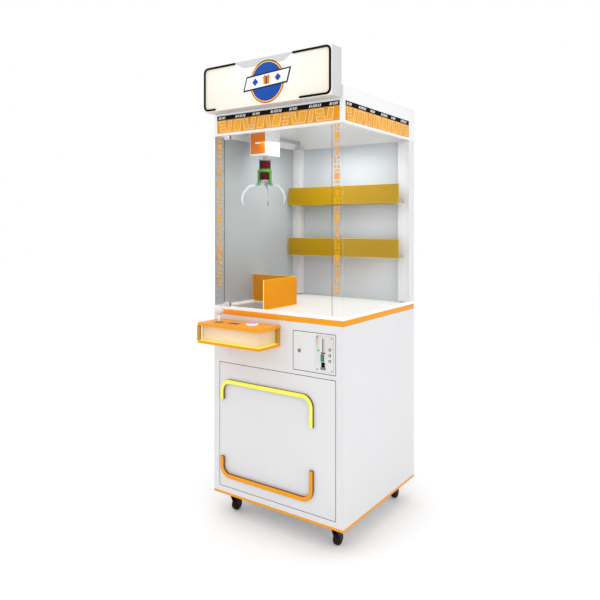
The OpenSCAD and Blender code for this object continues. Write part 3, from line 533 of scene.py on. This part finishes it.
# Outlined blocks on the orange band, leaning one way and the other: a pale rim and a fill on top of it
def outlinedBlocks(axis, start, end, outer, inward, low, high):
    tall = high - low
    rimFace = sorted((outer + inward * fascia["inkOut"] / 2, outer + inward * fascia["inkOut"]))
    fillFace = sorted((outer + inward * fascia["fillOut"], outer + inward * fascia["inkOut"] / 2))
    bandLow, bandHigh = fascia["wholeRow"][0]
    rims, fills = [], []
    at = start + fascia["blockStart"]
    i = 0
    while at + fascia["blockRoom"] < end:
        wide = fascia["blockWidths"][i % len(fascia["blockWidths"])]
        slant = fascia["slant"] * (1 if i % 3 else -1)
        base = at + (fascia["slant"] if slant < 0 else 0)
        for bottom, top in fascia["wholeRow"] if i % 4 else fascia["splitRows"]:
            lean = slant * (top - bottom) / (bandHigh - bandLow)
            left = base + slant * (bottom - bandLow) / (bandHigh - bandLow)
            floor, ceiling = low + tall * bottom, low + tall * top
            rims.append(slantedBar("ink", axis, left, wide, floor, ceiling, rimFace, lean, paleInk))
            fills.append(slantedBar("ink", axis, left + fascia["rimWide"], wide - 2 * fascia["rimWide"],
                                    floor + fascia["rimTall"], ceiling - fascia["rimTall"],
                                    fillFace, lean, orangeInkDeep))
        at += wide + fascia["slant"] + fascia["blockGap"]
        i += 1
    return rims, fills


# Groups of five and seven ticks on the black band
def tickGroups(axis, start, end, outer, inward, low, high):
    face = sorted((outer, outer + inward * fascia["inkOut"]))
    ticks = []
    for i in range(int((end - start - 2 * fascia["tickStart"]) / fascia["tickGroup"]) + 1):
        for k in range(7 if i % 2 else 5):
            place = start + fascia["tickStart"] + i * fascia["tickGroup"] + k * fascia["tickPitch"]
            if place + fascia["tickRoom"] < end:
                ticks.append(slantedBar("ink", axis, place, fascia["tickWidths"][k % 3], low + fascia["tickLow"],
                                        high - fascia["tickHigh"], face, fascia["tickSlant"], whiteInk))
    return ticks


def fasciaSide(name, axis, start, end, outer, inward):
    low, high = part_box("fascia_panels")
    seam = high.z - fascia["blackHeight"]
    depth = sorted((outer + inward * fascia["inkOut"], outer + inward * fascia["plateDeep"]))
    for piece in (fasciaPlate(name + "_orange", axis, start, end, depth, low.z, seam, orangeInkSolid),
                  fasciaPlate(name + "_black", axis, start, end, depth, seam, high.z, inkBlack)):
        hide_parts("fascia_panels")
        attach(piece, "cabinet")
    rims, fills = outlinedBlocks(axis, start, end, outer, inward, low.z, seam)
    ticks = tickGroups(axis, start, end, outer, inward, seam, high.z)
    for suffix, pieces in (("_block_rims", rims), ("_blocks", fills), ("_ticks", ticks)):
        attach(join(name + suffix, pieces), "cabinet")


fasciaLow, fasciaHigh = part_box("fascia_panels")
fasciaSide("fascia_front", "x", fasciaLow.x + fascia["frontInset"], fasciaHigh.x - fascia["frontInset"],
           fasciaLow.y, 1)
fasciaSide("fascia_right", "y", fasciaLow.y + fascia["sideInset"], fasciaHigh.y, fasciaHigh.x, -1)
fasciaSide("fascia_left", "y", fasciaLow.y + fascia["sideInset"], fasciaHigh.y, fasciaLow.x, 1)
print("fascia made")


sign = {"faceEdge": 1.2 * mm, "outlineEdge": 1.6 * mm, "glow": 0.43, "glowReach": (0.45, 0.4, 0.26),
        "layer": 0.6 * mm, "plateEdge": 0.4 * mm, "tabWidth": 170 * mm, "tabDepth": 34 * mm, "tabSlope": 60 * mm, "tabDrop": 1 * mm,
        "discRadius": 94 * mm, "ringStep": 5 * mm, "discEdge": 0.2 * mm, "emblemShift": 20 * mm, "emblemDrop": 6 * mm,
        "ribbonHalf": 122 * mm, "ribbonRise": 14 * mm, "ribbonTall": 33 * mm, "ribbonRim": 7 * mm,
        "ribbonLean": (10 * mm, 8 * mm), "badgeOut": 0.5 * mm, "diamondOff": 62 * mm, "diamondHalf": 17 * mm,
        "bowTop": 21 * mm, "bowKnot": 14.5 * mm, "bowFoot": 15.5 * mm, "bowOut": 12 * mm, "bowWide": 3 * mm}
signLow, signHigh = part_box("sign_face")
signCentre = (signLow + signHigh) / 2
signLight = lit("signLight", (0.68, 0.655, 0.61), (0.64, 0.59, 0.50), sign["glow"],
                (signCentre.x, signLow.y, signHigh.z), sign["glowReach"])
soften("sign_face", "cabinet", signLight, sign["faceEdge"])
soften("sign_outline", "cabinet", inkBlack, sign["outlineEdge"], 3)


def disc(name, centre, radius, front, back, finish):
    piece = rod(name, (centre.x, back, centre.z), (centre.x, front, centre.z), radius, sign["discEdge"], 72)
    paint(piece, finish)
    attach(piece, "cabinet")


def wedge(name, corners, front, back, finish):  # a flat plate with straight sides on the sign's face
    deselect()
    bpy.ops.mesh.primitive_circle_add(vertices=len(corners), radius=1, fill_type="NGON")
    plate = bpy.context.object
    plate.name = name
    for point, (x, z) in zip(plate.data.vertices, corners):
        point.co = Vector((x, back, z))
    activate(plate)
    bpy.ops.object.mode_set(mode="EDIT")
    bpy.ops.mesh.select_all(action="SELECT")
    bpy.ops.mesh.extrude_region_move(TRANSFORM_OT_translate={"value": (0, front - back, 0)})
    bpy.ops.mesh.select_all(action="SELECT")
    bpy.ops.mesh.normals_make_consistent(inside=False)
    bpy.ops.object.mode_set(mode="OBJECT")
    roundEdges(plate, sign["plateEdge"], 1)
    paint(plate, finish)
    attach(plate, "cabinet")


front = signLow.y
emblem = Vector((signCentre.x + sign["emblemShift"], front, signCentre.z - sign["emblemDrop"]))
tabTop, tabFoot = signHigh.z - sign["tabDrop"], signHigh.z - sign["tabDepth"]
tabHalf = sign["tabWidth"]
wedge("sign_tab", [(signCentre.x - tabHalf, tabTop), (signCentre.x + tabHalf, tabTop),
                   (signCentre.x + tabHalf - sign["tabSlope"], tabFoot),
                   (signCentre.x - tabHalf + sign["tabSlope"], tabFoot)],
      front - sign["layer"], front, signGrey)
layer = front
for i, (name, finish) in enumerate((("emblem_rim", redInk), ("emblem_ring", yellowInk), ("emblem_disc", blueInk))):
    disc(name, emblem, sign["discRadius"] - i * sign["ringStep"], layer - sign["layer"], layer, finish)
    layer -= sign["layer"]


# A blank ribbon across the disc, with a plain gift box and two diamonds on it
def ribbonShape(half, height, lean):
    rise = sign["ribbonRise"]
    return [(emblem.x - half - lean, emblem.z - height), (emblem.x - half + lean, emblem.z + height),
            (emblem.x + half + lean, emblem.z + height + rise), (emblem.x + half - lean, emblem.z - height + rise)]


def boxShape(x, z, halfWide, halfTall):
    return [(x - halfWide, z - halfTall), (x - halfWide, z + halfTall),
            (x + halfWide, z + halfTall), (x + halfWide, z - halfTall)]


wedge("ribbon_edge", ribbonShape(sign["ribbonHalf"], sign["ribbonTall"], sign["ribbonLean"][0]),
      layer - sign["layer"], layer, navyInk)
wedge("ribbon_face", ribbonShape(sign["ribbonHalf"] - sign["ribbonRim"], sign["ribbonTall"] - sign["ribbonRim"],
                                 sign["ribbonLean"][1]),
      layer - 2 * sign["layer"], layer - sign["layer"], whiteInk)
layer -= 2 * sign["layer"]
giftZ = emblem.z + sign["ribbonRise"] / 2
badge = sign["badgeOut"]
for name, rise, halfWide, halfTall, lift, finish in (  # height from the ribbon's middle, half sizes, layer
        ("gift_body", -6 * mm, 16 * mm, 12 * mm, 0, labelOrange),
        ("gift_lid", 10 * mm, 19 * mm, 4.5 * mm, 0, labelOrange),
        ("gift_band", -2 * mm, 3.2 * mm, 16.5 * mm, 1, navyInk)):
    wedge(name, boxShape(emblem.x, giftZ + rise, halfWide, halfTall),
          layer - (lift + 1) * badge, layer - lift * badge, finish)
for side, word in ((-1, "left"), (1, "right")):
    bowX = emblem.x + side * sign["bowOut"]
    wedge("gift_bow_" + word, [(emblem.x, giftZ + sign["bowKnot"]), (bowX, giftZ + sign["bowTop"]),
                               (bowX + side * sign["bowWide"], giftZ + sign["bowFoot"])],
          layer - badge, layer, navyInk)
    x = emblem.x + side * sign["diamondOff"]
    z = giftZ + side * sign["ribbonRise"] / 4
    half = sign["diamondHalf"]
    wedge("diamond_" + word, [(x - half, z), (x, z + half), (x + half, z), (x, z - half)],
          layer - badge, layer, blueInk)
print("sign made")


room = {"edgeWidth": 0.6 * mm, "sheetEdge": 6.5 * mm, "lampEdge": 2 * mm, "lampGlow": 2.2,
        "lampReach": (0.5, 0.6, 0.4)}


# Acrylic: a see-through face finish, and a brighter one with painted light on the narrow cut edges
def acrylic(node, finish, edge, width):
    piece = copyNode(node, node + "_sheet")
    roundEdges(piece, width, 1)
    paint(piece, finish, edge)

    def isCutEdge(face):
        points = [piece.data.vertices[i].co for i in face.vertices]
        spans = [max(point[axis] for point in points) - min(point[axis] for point in points) for axis in range(3)]
        return sorted(spans)[1] < room["sheetEdge"]

    # the cut edges get the painted glow
    paintFaces(piece, 1, isCutEdge)
    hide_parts(node)
    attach(piece, "cabinet")


acrylic("chute_guard", guardSheet, amberPaintedGlow, room["edgeWidth"])
acrylic("shelves", amberSheet, amberPaintedGlow, room["edgeWidth"])
lampLow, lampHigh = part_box("lamp_bars")
lampLight = lit("lampLight", (1.0, 1.0, 0.97), (0.85, 0.93, 1.0), room["lampGlow"], (lampLow + lampHigh) / 2,
                room["lampReach"])
soften("lamp_bars", "cabinet", lampLight, room["lampEdge"], 3)
print("playfield room made")


crane = {"motorEdge": 3 * mm, "boxEdge": 2.5 * mm, "clawEdge": 0.5 * mm, "coilEdge": 1.2 * mm, "tipLength": 26 * mm,
         "labelLow": 8 * mm, "labelHigh": 112 * mm, "labelInset": 3 * mm, "labelRight": 92 * mm, "labelSunk": 1 * mm,
         "labelThick": 1.6 * mm, "labelEdge": 0.5 * mm,
         "markHalfWide": 16 * mm, "markHalfTall": 4 * mm, "markThick": 0.8 * mm, "markEdge": 0.3 * mm}
soften("bridge_motor", "bridge", buttonWhite, crane["motorEdge"], 3)
soften("carriage", "carriage", buttonWhite, crane["boxEdge"], 3)
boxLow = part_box("carriage")[0]
labelBack = boxLow.y + crane["labelSunk"]
labelFront = labelBack - crane["labelThick"]
label = block("carriage_label", (boxLow.x + crane["labelInset"], labelFront, boxLow.z + crane["labelLow"]),
              (boxLow.x + crane["labelRight"], labelBack, boxLow.z + crane["labelHigh"]), crane["labelEdge"])
paint(label, labelOrange)
labelCentre = middle(label)
markLow = (labelCentre.x - crane["markHalfWide"], labelFront - crane["markThick"],
           labelCentre.z - crane["markHalfTall"])
markHigh = (labelCentre.x + crane["markHalfWide"], labelFront, labelCentre.z + crane["markHalfTall"])
mark = block("label_mark", markLow, markHigh, crane["markEdge"])
paint(mark, whiteInk)
for piece in (label, mark):
    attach(piece, "carriage")
soften("claw_frame", "claw", frameSteel, crane["clawEdge"])
soften("claw_yoke", "yoke", greenCoat, crane["clawEdge"])
soften("claw_coil", "claw", coilWinding, crane["coilEdge"], 3)
for i in range(3):
    prong = soften("prong_" + str(i + 1), "finger_" + str(i + 1), prongSteel, crane["clawEdge"])
    prong.data.materials.append(tipGrey)
    lowest = min(point.co.z for point in prong.data.vertices)
    paintFaces(prong, 1, lambda face: face.center.z < lowest + crane["tipLength"])
print("crane made")


panel = {"edge": 2.5 * mm, "bodyEdge": 3 * mm, "bottomEdge": 1.0 * mm, "bottomThick": 13 * mm,
         "housingEdge": 1.5 * mm, "ringEdge": 2 * mm, "displayEdge": 0.8 * mm, "capEdge": 3 * mm,
         "bodyGlow": 0.2, "bodyReach": (0.34, 0.30, 0.10), "displayGlow": 0.2, "displayReach": (0.05, 0.03, 0.03),
         "capGlow": 0.35, "capReach": (0.03, 0.03, 0.03), "capGlowShift": 6 * mm,
         "ballRadius": 22 * mm, "ballFlat": 0.97, "ballBase": 0.9, "shaftRadius": 5 * mm, "shaftStart": 1 * mm,
         "washerRadius": 11 * mm, "washerLow": 10.5 * mm, "washerHigh": 12.5 * mm, "washerEdge": 0.8 * mm}
panelLow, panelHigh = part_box("panel_body")
panelGlow = lit("panelGlow", (0.71, 0.57, 0.39), (0.61, 0.39, 0.20), panel["bodyGlow"],
                ((panelLow.x + panelHigh.x) / 2, panelLow.y, panelLow.z), panel["bodyReach"])
soften("panel_body", "cabinet", panelGlow, panel["bodyEdge"], 3)
soften("panel_top", "cabinet", amberPlate, panel["edge"], 3)
lower = soften("panel_bottom", "cabinet", amberPlate, panel["bottomEdge"], 2)
lower.data.materials.append(goldPost)
lower.data.materials.append(amberPaintedGlow)  # painted light: the ledge under the lit body is given a glow
plateTop = min(point.co.z for point in lower.data.vertices) + panel["bottomThick"]
paintFaces(lower, 1, lambda face: face.center.z > plateTop)
# the ledge's upper faces get the painted glow
paintFaces(lower, 2, lambda face: face.normal.z > 0.5 and face.center.z < plateTop)
soften("joystick_housing", "cabinet", goldPost, panel["housingEdge"], 3)
soften("button_ring", "cabinet", buttonWhite, panel["ringEdge"], 4)
displayLow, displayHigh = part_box("panel_display")
displayGlow = lit("displayGlow", (0.02, 0.02, 0.34), (0.01, 0.01, 0.2), panel["displayGlow"],
                  ((displayLow.x + displayHigh.x) / 2, (displayLow.y + displayHigh.y) / 2, displayHigh.z),
                  panel["displayReach"], gloss=0.1)
soften("panel_display", "cabinet", displayGlow, panel["displayEdge"])
capLow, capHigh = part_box("button_cap")
capCentre = (capLow + capHigh) / 2
capGlow = lit("capGlow", (0.72, 0.20, 0.50), (0.42, 0.08, 0.58), panel["capGlow"],
              (capCentre.x, capCentre.y - panel["capGlowShift"], capHigh.z), panel["capReach"])
soften("button_cap", "play_button", capGlow, panel["capEdge"], 4)


# The stick: a steel shaft from the gimbal, a dust washer and a glossy ball
def joystick():
    low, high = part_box("joystick_stick")
    centre = (low + high) / 2
    ballZ = high.z - panel["ballRadius"]
    deselect()
    bpy.ops.mesh.primitive_uv_sphere_add(segments=64, ring_count=40, radius=panel["ballRadius"],
                                         location=(centre.x, centre.y, ballZ))
    ball = bpy.context.object
    ball.name = "joystick_ball"
    freeze(ball)
    bpy.ops.object.mode_set(mode="EDIT")
    bpy.ops.mesh.select_all(action="SELECT")
    bpy.ops.mesh.bisect(plane_co=(centre.x, centre.y, ballZ - panel["ballRadius"] * panel["ballFlat"]),
                        plane_no=(0, 0, 1), clear_inner=True, use_fill=True)
    bpy.ops.object.mode_set(mode="OBJECT")
    roundEdges(ball, 0)
    paint(ball, ballWhite)
    shaft = rod("joystick_shaft", (centre.x, centre.y, low.z + panel["shaftStart"]),
                (centre.x, centre.y, ballZ - panel["ballRadius"] * panel["ballBase"]), panel["shaftRadius"])
    paint(shaft, chrome)
    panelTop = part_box("panel_top")[1].z
    washer = rod("joystick_washer", (centre.x, centre.y, panelTop + panel["washerLow"]),
                 (centre.x, centre.y, panelTop + panel["washerHigh"]), panel["washerRadius"], panel["washerEdge"])
    paint(washer, ballWhite)
    for piece in (ball, shaft, washer):
        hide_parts("joystick_stick")
        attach(piece, "stick")


joystick()
print("control panel made")


doors = {"sheetEdge": 1.2 * mm, "foldShadow": 1.5 * mm, "lockEdge": 0.6 * mm, "outlineEdge": 0.8 * mm,
         "outlineSplit": 0.4, "selectorEdge": 1.2 * mm, "selectorFace": 1.6 * mm, "selectorRim": 8 * mm,
         "returnEdge": 1.5 * mm, "plateSunk": 0.6 * mm, "screwInset": 6.5 * mm, "screwRadius": 3.2 * mm,
         "screwRise": 1.4 * mm, "lensPlace": (-31 * mm, 12.5 * mm), "lensRadius": 4.8 * mm, "lensRise": 1.2 * mm,
         "studAcross": 26 * mm, "studs": (("upper", 20 * mm), ("middle", -4 * mm), ("lower", -28 * mm)),
         "rimRadius": 6.3 * mm, "rimRise": 1.0 * mm, "studRadius": 3.72 * mm, "studRise": 2.2 * mm,
         "barSunk": 0.5 * mm, "barEdge": 0.5 * mm, "slotShift": -7 * mm,
         "bars": (  # left and right from the slot, low and high from the plate's middle, and how far each stands out
             ("slot_lip_left", -7 * mm, -2.6 * mm, 8 * mm, 66 * mm, 2.4 * mm, coinSteel),
             ("slot_lip_right", 2.6 * mm, 7 * mm, 8 * mm, 66 * mm, 2.4 * mm, coinSteel),
             # the dark slot bar and the cup's mouth are painted shade in the openings
             ("slot_shade", -1.8 * mm, 1.8 * mm, 9 * mm, 63 * mm, 0.3 * mm, blackAndShade),
             ("slot_foot", -9 * mm, 9 * mm, 1 * mm, 6 * mm, 3 * mm, blackAndShade),
             ("cup_frame", -12 * mm, 12 * mm, -68 * mm, -58 * mm, 3 * mm, zincDark),
             ("cup_mouth", -9 * mm, 9 * mm, -57 * mm, -36 * mm, 1 * mm, blackAndShade))}
for node, body in (("prize_door", "prize_hatch"), ("coin_door", "coin_hatch")):  # folded edges in shadow grey
    leaf = soften(node, body, whiteCoat, doors["sheetEdge"])
    leaf.data.materials.append(gapShadow)
    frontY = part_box(node)[0].y
    paintFaces(leaf, 1, lambda face: abs(face.normal.y) < 0.5 and face.center.y > frontY + doors["foldShadow"])
soften("coin_lock", "lock", zincDark, doors["lockEdge"])

# Raised outlines: yellow and orange front faces, and painted shade on the sides
bars = separate(copyNode("door_brackets", "door_bracket"))
for bar in bars:
    upper = middle(bar).z > doors["outlineSplit"]
    bar.name = "door_outline_upper" if upper else "door_outline_lower"
    roundEdges(bar, doors["outlineEdge"], 2)
    paint(bar, yellowPaint if upper else orangeCoat, yellowSideShade if upper else orangeSideShade)
    # the faces that don't face the front are painted darker as shade
    paintFaces(bar, 1, lambda face: face.normal.y > -0.5)
    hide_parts("door_brackets")
    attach(bar, "prize_hatch")

selector = soften("coin_selector", "coin_hatch", coinSteel, doors["selectorEdge"])
selector.data.materials.append(blackAndShade)
plateLow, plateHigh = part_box("coin_selector")
plateX = (plateLow.x + plateHigh.x) / 2
plateZ = (plateLow.z + plateHigh.z) / 2


def isSelectorHole(face):  # walls of the openings, behind the plate's face and inside its rim: painted shade in the openings
    rim = doors["selectorRim"]
    return (face.center.y > plateLow.y + doors["selectorFace"] and abs(face.normal.y) < 0.9
            and plateLow.x + rim < face.center.x < plateHigh.x - rim
            and plateLow.z + rim < face.center.z < plateHigh.z - rim)


paintFaces(selector, 1, isSelectorHole)
soften("coin_return", "coin_button", returnGreen, doors["returnEdge"], 3)


def onPlate(name, x, z, radius, rise, finish):  # a small round part standing on the coin plate
    piece = rod(name, (x, plateLow.y + doors["plateSunk"], z), (x, plateLow.y - rise, z), radius,
                min(0.8 * mm, rise * 0.6), 32)
    paint(piece, finish)
    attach(piece, "coin_hatch")


inset = doors["screwInset"]
for i, (x, z) in enumerate(((plateLow.x + inset, plateLow.z + inset), (plateHigh.x - inset, plateLow.z + inset),
                            (plateLow.x + inset, plateHigh.z - inset), (plateHigh.x - inset, plateHigh.z - inset))):
    onPlate("plate_screw_" + str(i + 1), x, z, doors["screwRadius"], doors["screwRise"], zincDark)
onPlate("plate_lens", plateX + doors["lensPlace"][0], plateZ + doors["lensPlace"][1], doors["lensRadius"],
        doors["lensRise"], lensGreen)
for name, height in doors["studs"]:
    x, z = plateX + doors["studAcross"], plateZ + height
    onPlate("plate_rim_" + name, x, z, doors["rimRadius"], doors["rimRise"], blackAndShade)
    onPlate("plate_stud_" + name, x, z, doors["studRadius"], doors["studRise"], coinSteel)
for name, left, right, low, high, rise, finish in doors["bars"]:
    x = plateX + doors["slotShift"]
    bar = block(name, (x + left, plateLow.y - rise, plateZ + low),
                (x + right, plateLow.y + doors["barSunk"], plateZ + high), doors["barEdge"])
    paint(bar, finish)
    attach(bar, "coin_hatch")
print("doors made")


casters = {"forkEdge": 0.5 * mm, "wheelEdge": 1.6 * mm}
soften("caster_mounts", "cabinet", casterBlack, casters["forkEdge"])
for side in ("left", "right"):
    soften("caster_fork_" + side, "fork_" + side, casterBlack, casters["forkEdge"])
    for end in ("front", "rear"):
        wheel = "wheel_" + end + "_" + side
        soften("caster_" + wheel, wheel, rubberBlack, casters["wheelEdge"], 3)
print("casters made")


studio = {"cameraPlace": (1.6445, -2.4371, 1.2739), "cameraTurn": (90, 0, 34.79), "lens": 36.43, "shiftY": -0.124,
          "world": 1.0, "floorSize": 40, "floorDrop": 0.5 * mm, "floorGlow": 0.06,
          "lights": (  # name, place, target, size and power
              ("key_light", (-2.2, -3.2, 3.2), (0, 0, 1.1), 2.4, 14),
              ("fill_light", (3.4, -1.6, 2.4), (0, 0, 1.0), 2.6, 22),
              ("top_light", (0, -0.4, 4.4), (0, 0, 1.0), 2.6, 14)),
          "roomLight": {"back": 0.3, "aim": 0.32, "drop": 20 * mm, "aimHeight": 1.0, "size": 0.5, "power": 3.2}}


def makeFloor():
    deselect()
    bpy.ops.mesh.primitive_plane_add(size=studio["floorSize"], location=(0, 0, -studio["floorDrop"]))
    floor = bpy.context.object
    floor.name = "studio_floor"
    freeze(floor)
    bpy.ops.object.mode_set(mode="EDIT")
    bpy.ops.mesh.subdivide(number_cuts=4)
    bpy.ops.object.mode_set(mode="OBJECT")
    paper = coated("floorPaper", (0.94, 0.94, 0.94), 0.9, 0.002, 0.0, gloss=0.0)
    surface = paper.node_tree.nodes["Principled BSDF"]
    surface.inputs["Emission Color"].default_value = (1, 1, 1, 1)
    surface.inputs["Emission Strength"].default_value = studio["floorGlow"]
    paint(floor, paper)


def areaLight(name, place, target, size, power):
    lamp = bpy.data.lights.new(name, "AREA")
    lamp.shape = "DISK"
    lamp.size = size
    lamp.energy = power
    holder = bpy.data.objects.new(name, lamp)
    holder.location = place
    holder.rotation_euler = (Vector(target) - Vector(place)).to_track_quat("-Z", "Y").to_euler()
    bpy.context.scene.collection.objects.link(holder)
    return holder


def makeWorld():
    world = bpy.data.worlds.new("studio")
    world.use_nodes = True
    world.node_tree.nodes["Background"].inputs["Color"].default_value = (1, 1, 1, 1)
    world.node_tree.nodes["Background"].inputs["Strength"].default_value = studio["world"]
    bpy.context.scene.world = world


def makeCamera():
    lens = bpy.data.cameras.new("camera")
    lens.lens = studio["lens"]
    lens.sensor_width = 36
    lens.shift_y = studio["shiftY"]
    holder = bpy.data.objects.new("camera", lens)
    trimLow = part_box("base_trim")[0].z  # the camera's height is measured from the trim
    holder.location = Vector(studio["cameraPlace"]) + Vector((0, 0, trimLow))
    holder.rotation_euler = [math.radians(angle) for angle in studio["cameraTurn"]]
    bpy.context.scene.collection.objects.link(holder)
    bpy.context.scene.camera = holder


makeFloor()
makeWorld()
for light in studio["lights"]:
    areaLight(*light)
roomSpot = studio["roomLight"]
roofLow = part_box("roof_frame")[0]
roomLight = areaLight("room_light", (0, roofLow.y + roomSpot["back"], roofLow.z - roomSpot["drop"]),
                      (0, roofLow.y + roomSpot["aim"], roomSpot["aimHeight"]), roomSpot["size"], roomSpot["power"])
roomLight.visible_camera = False
roomLight.visible_glossy = False
makeCamera()
bpy.context.scene.view_settings.view_transform = "Standard"
print("studio made")
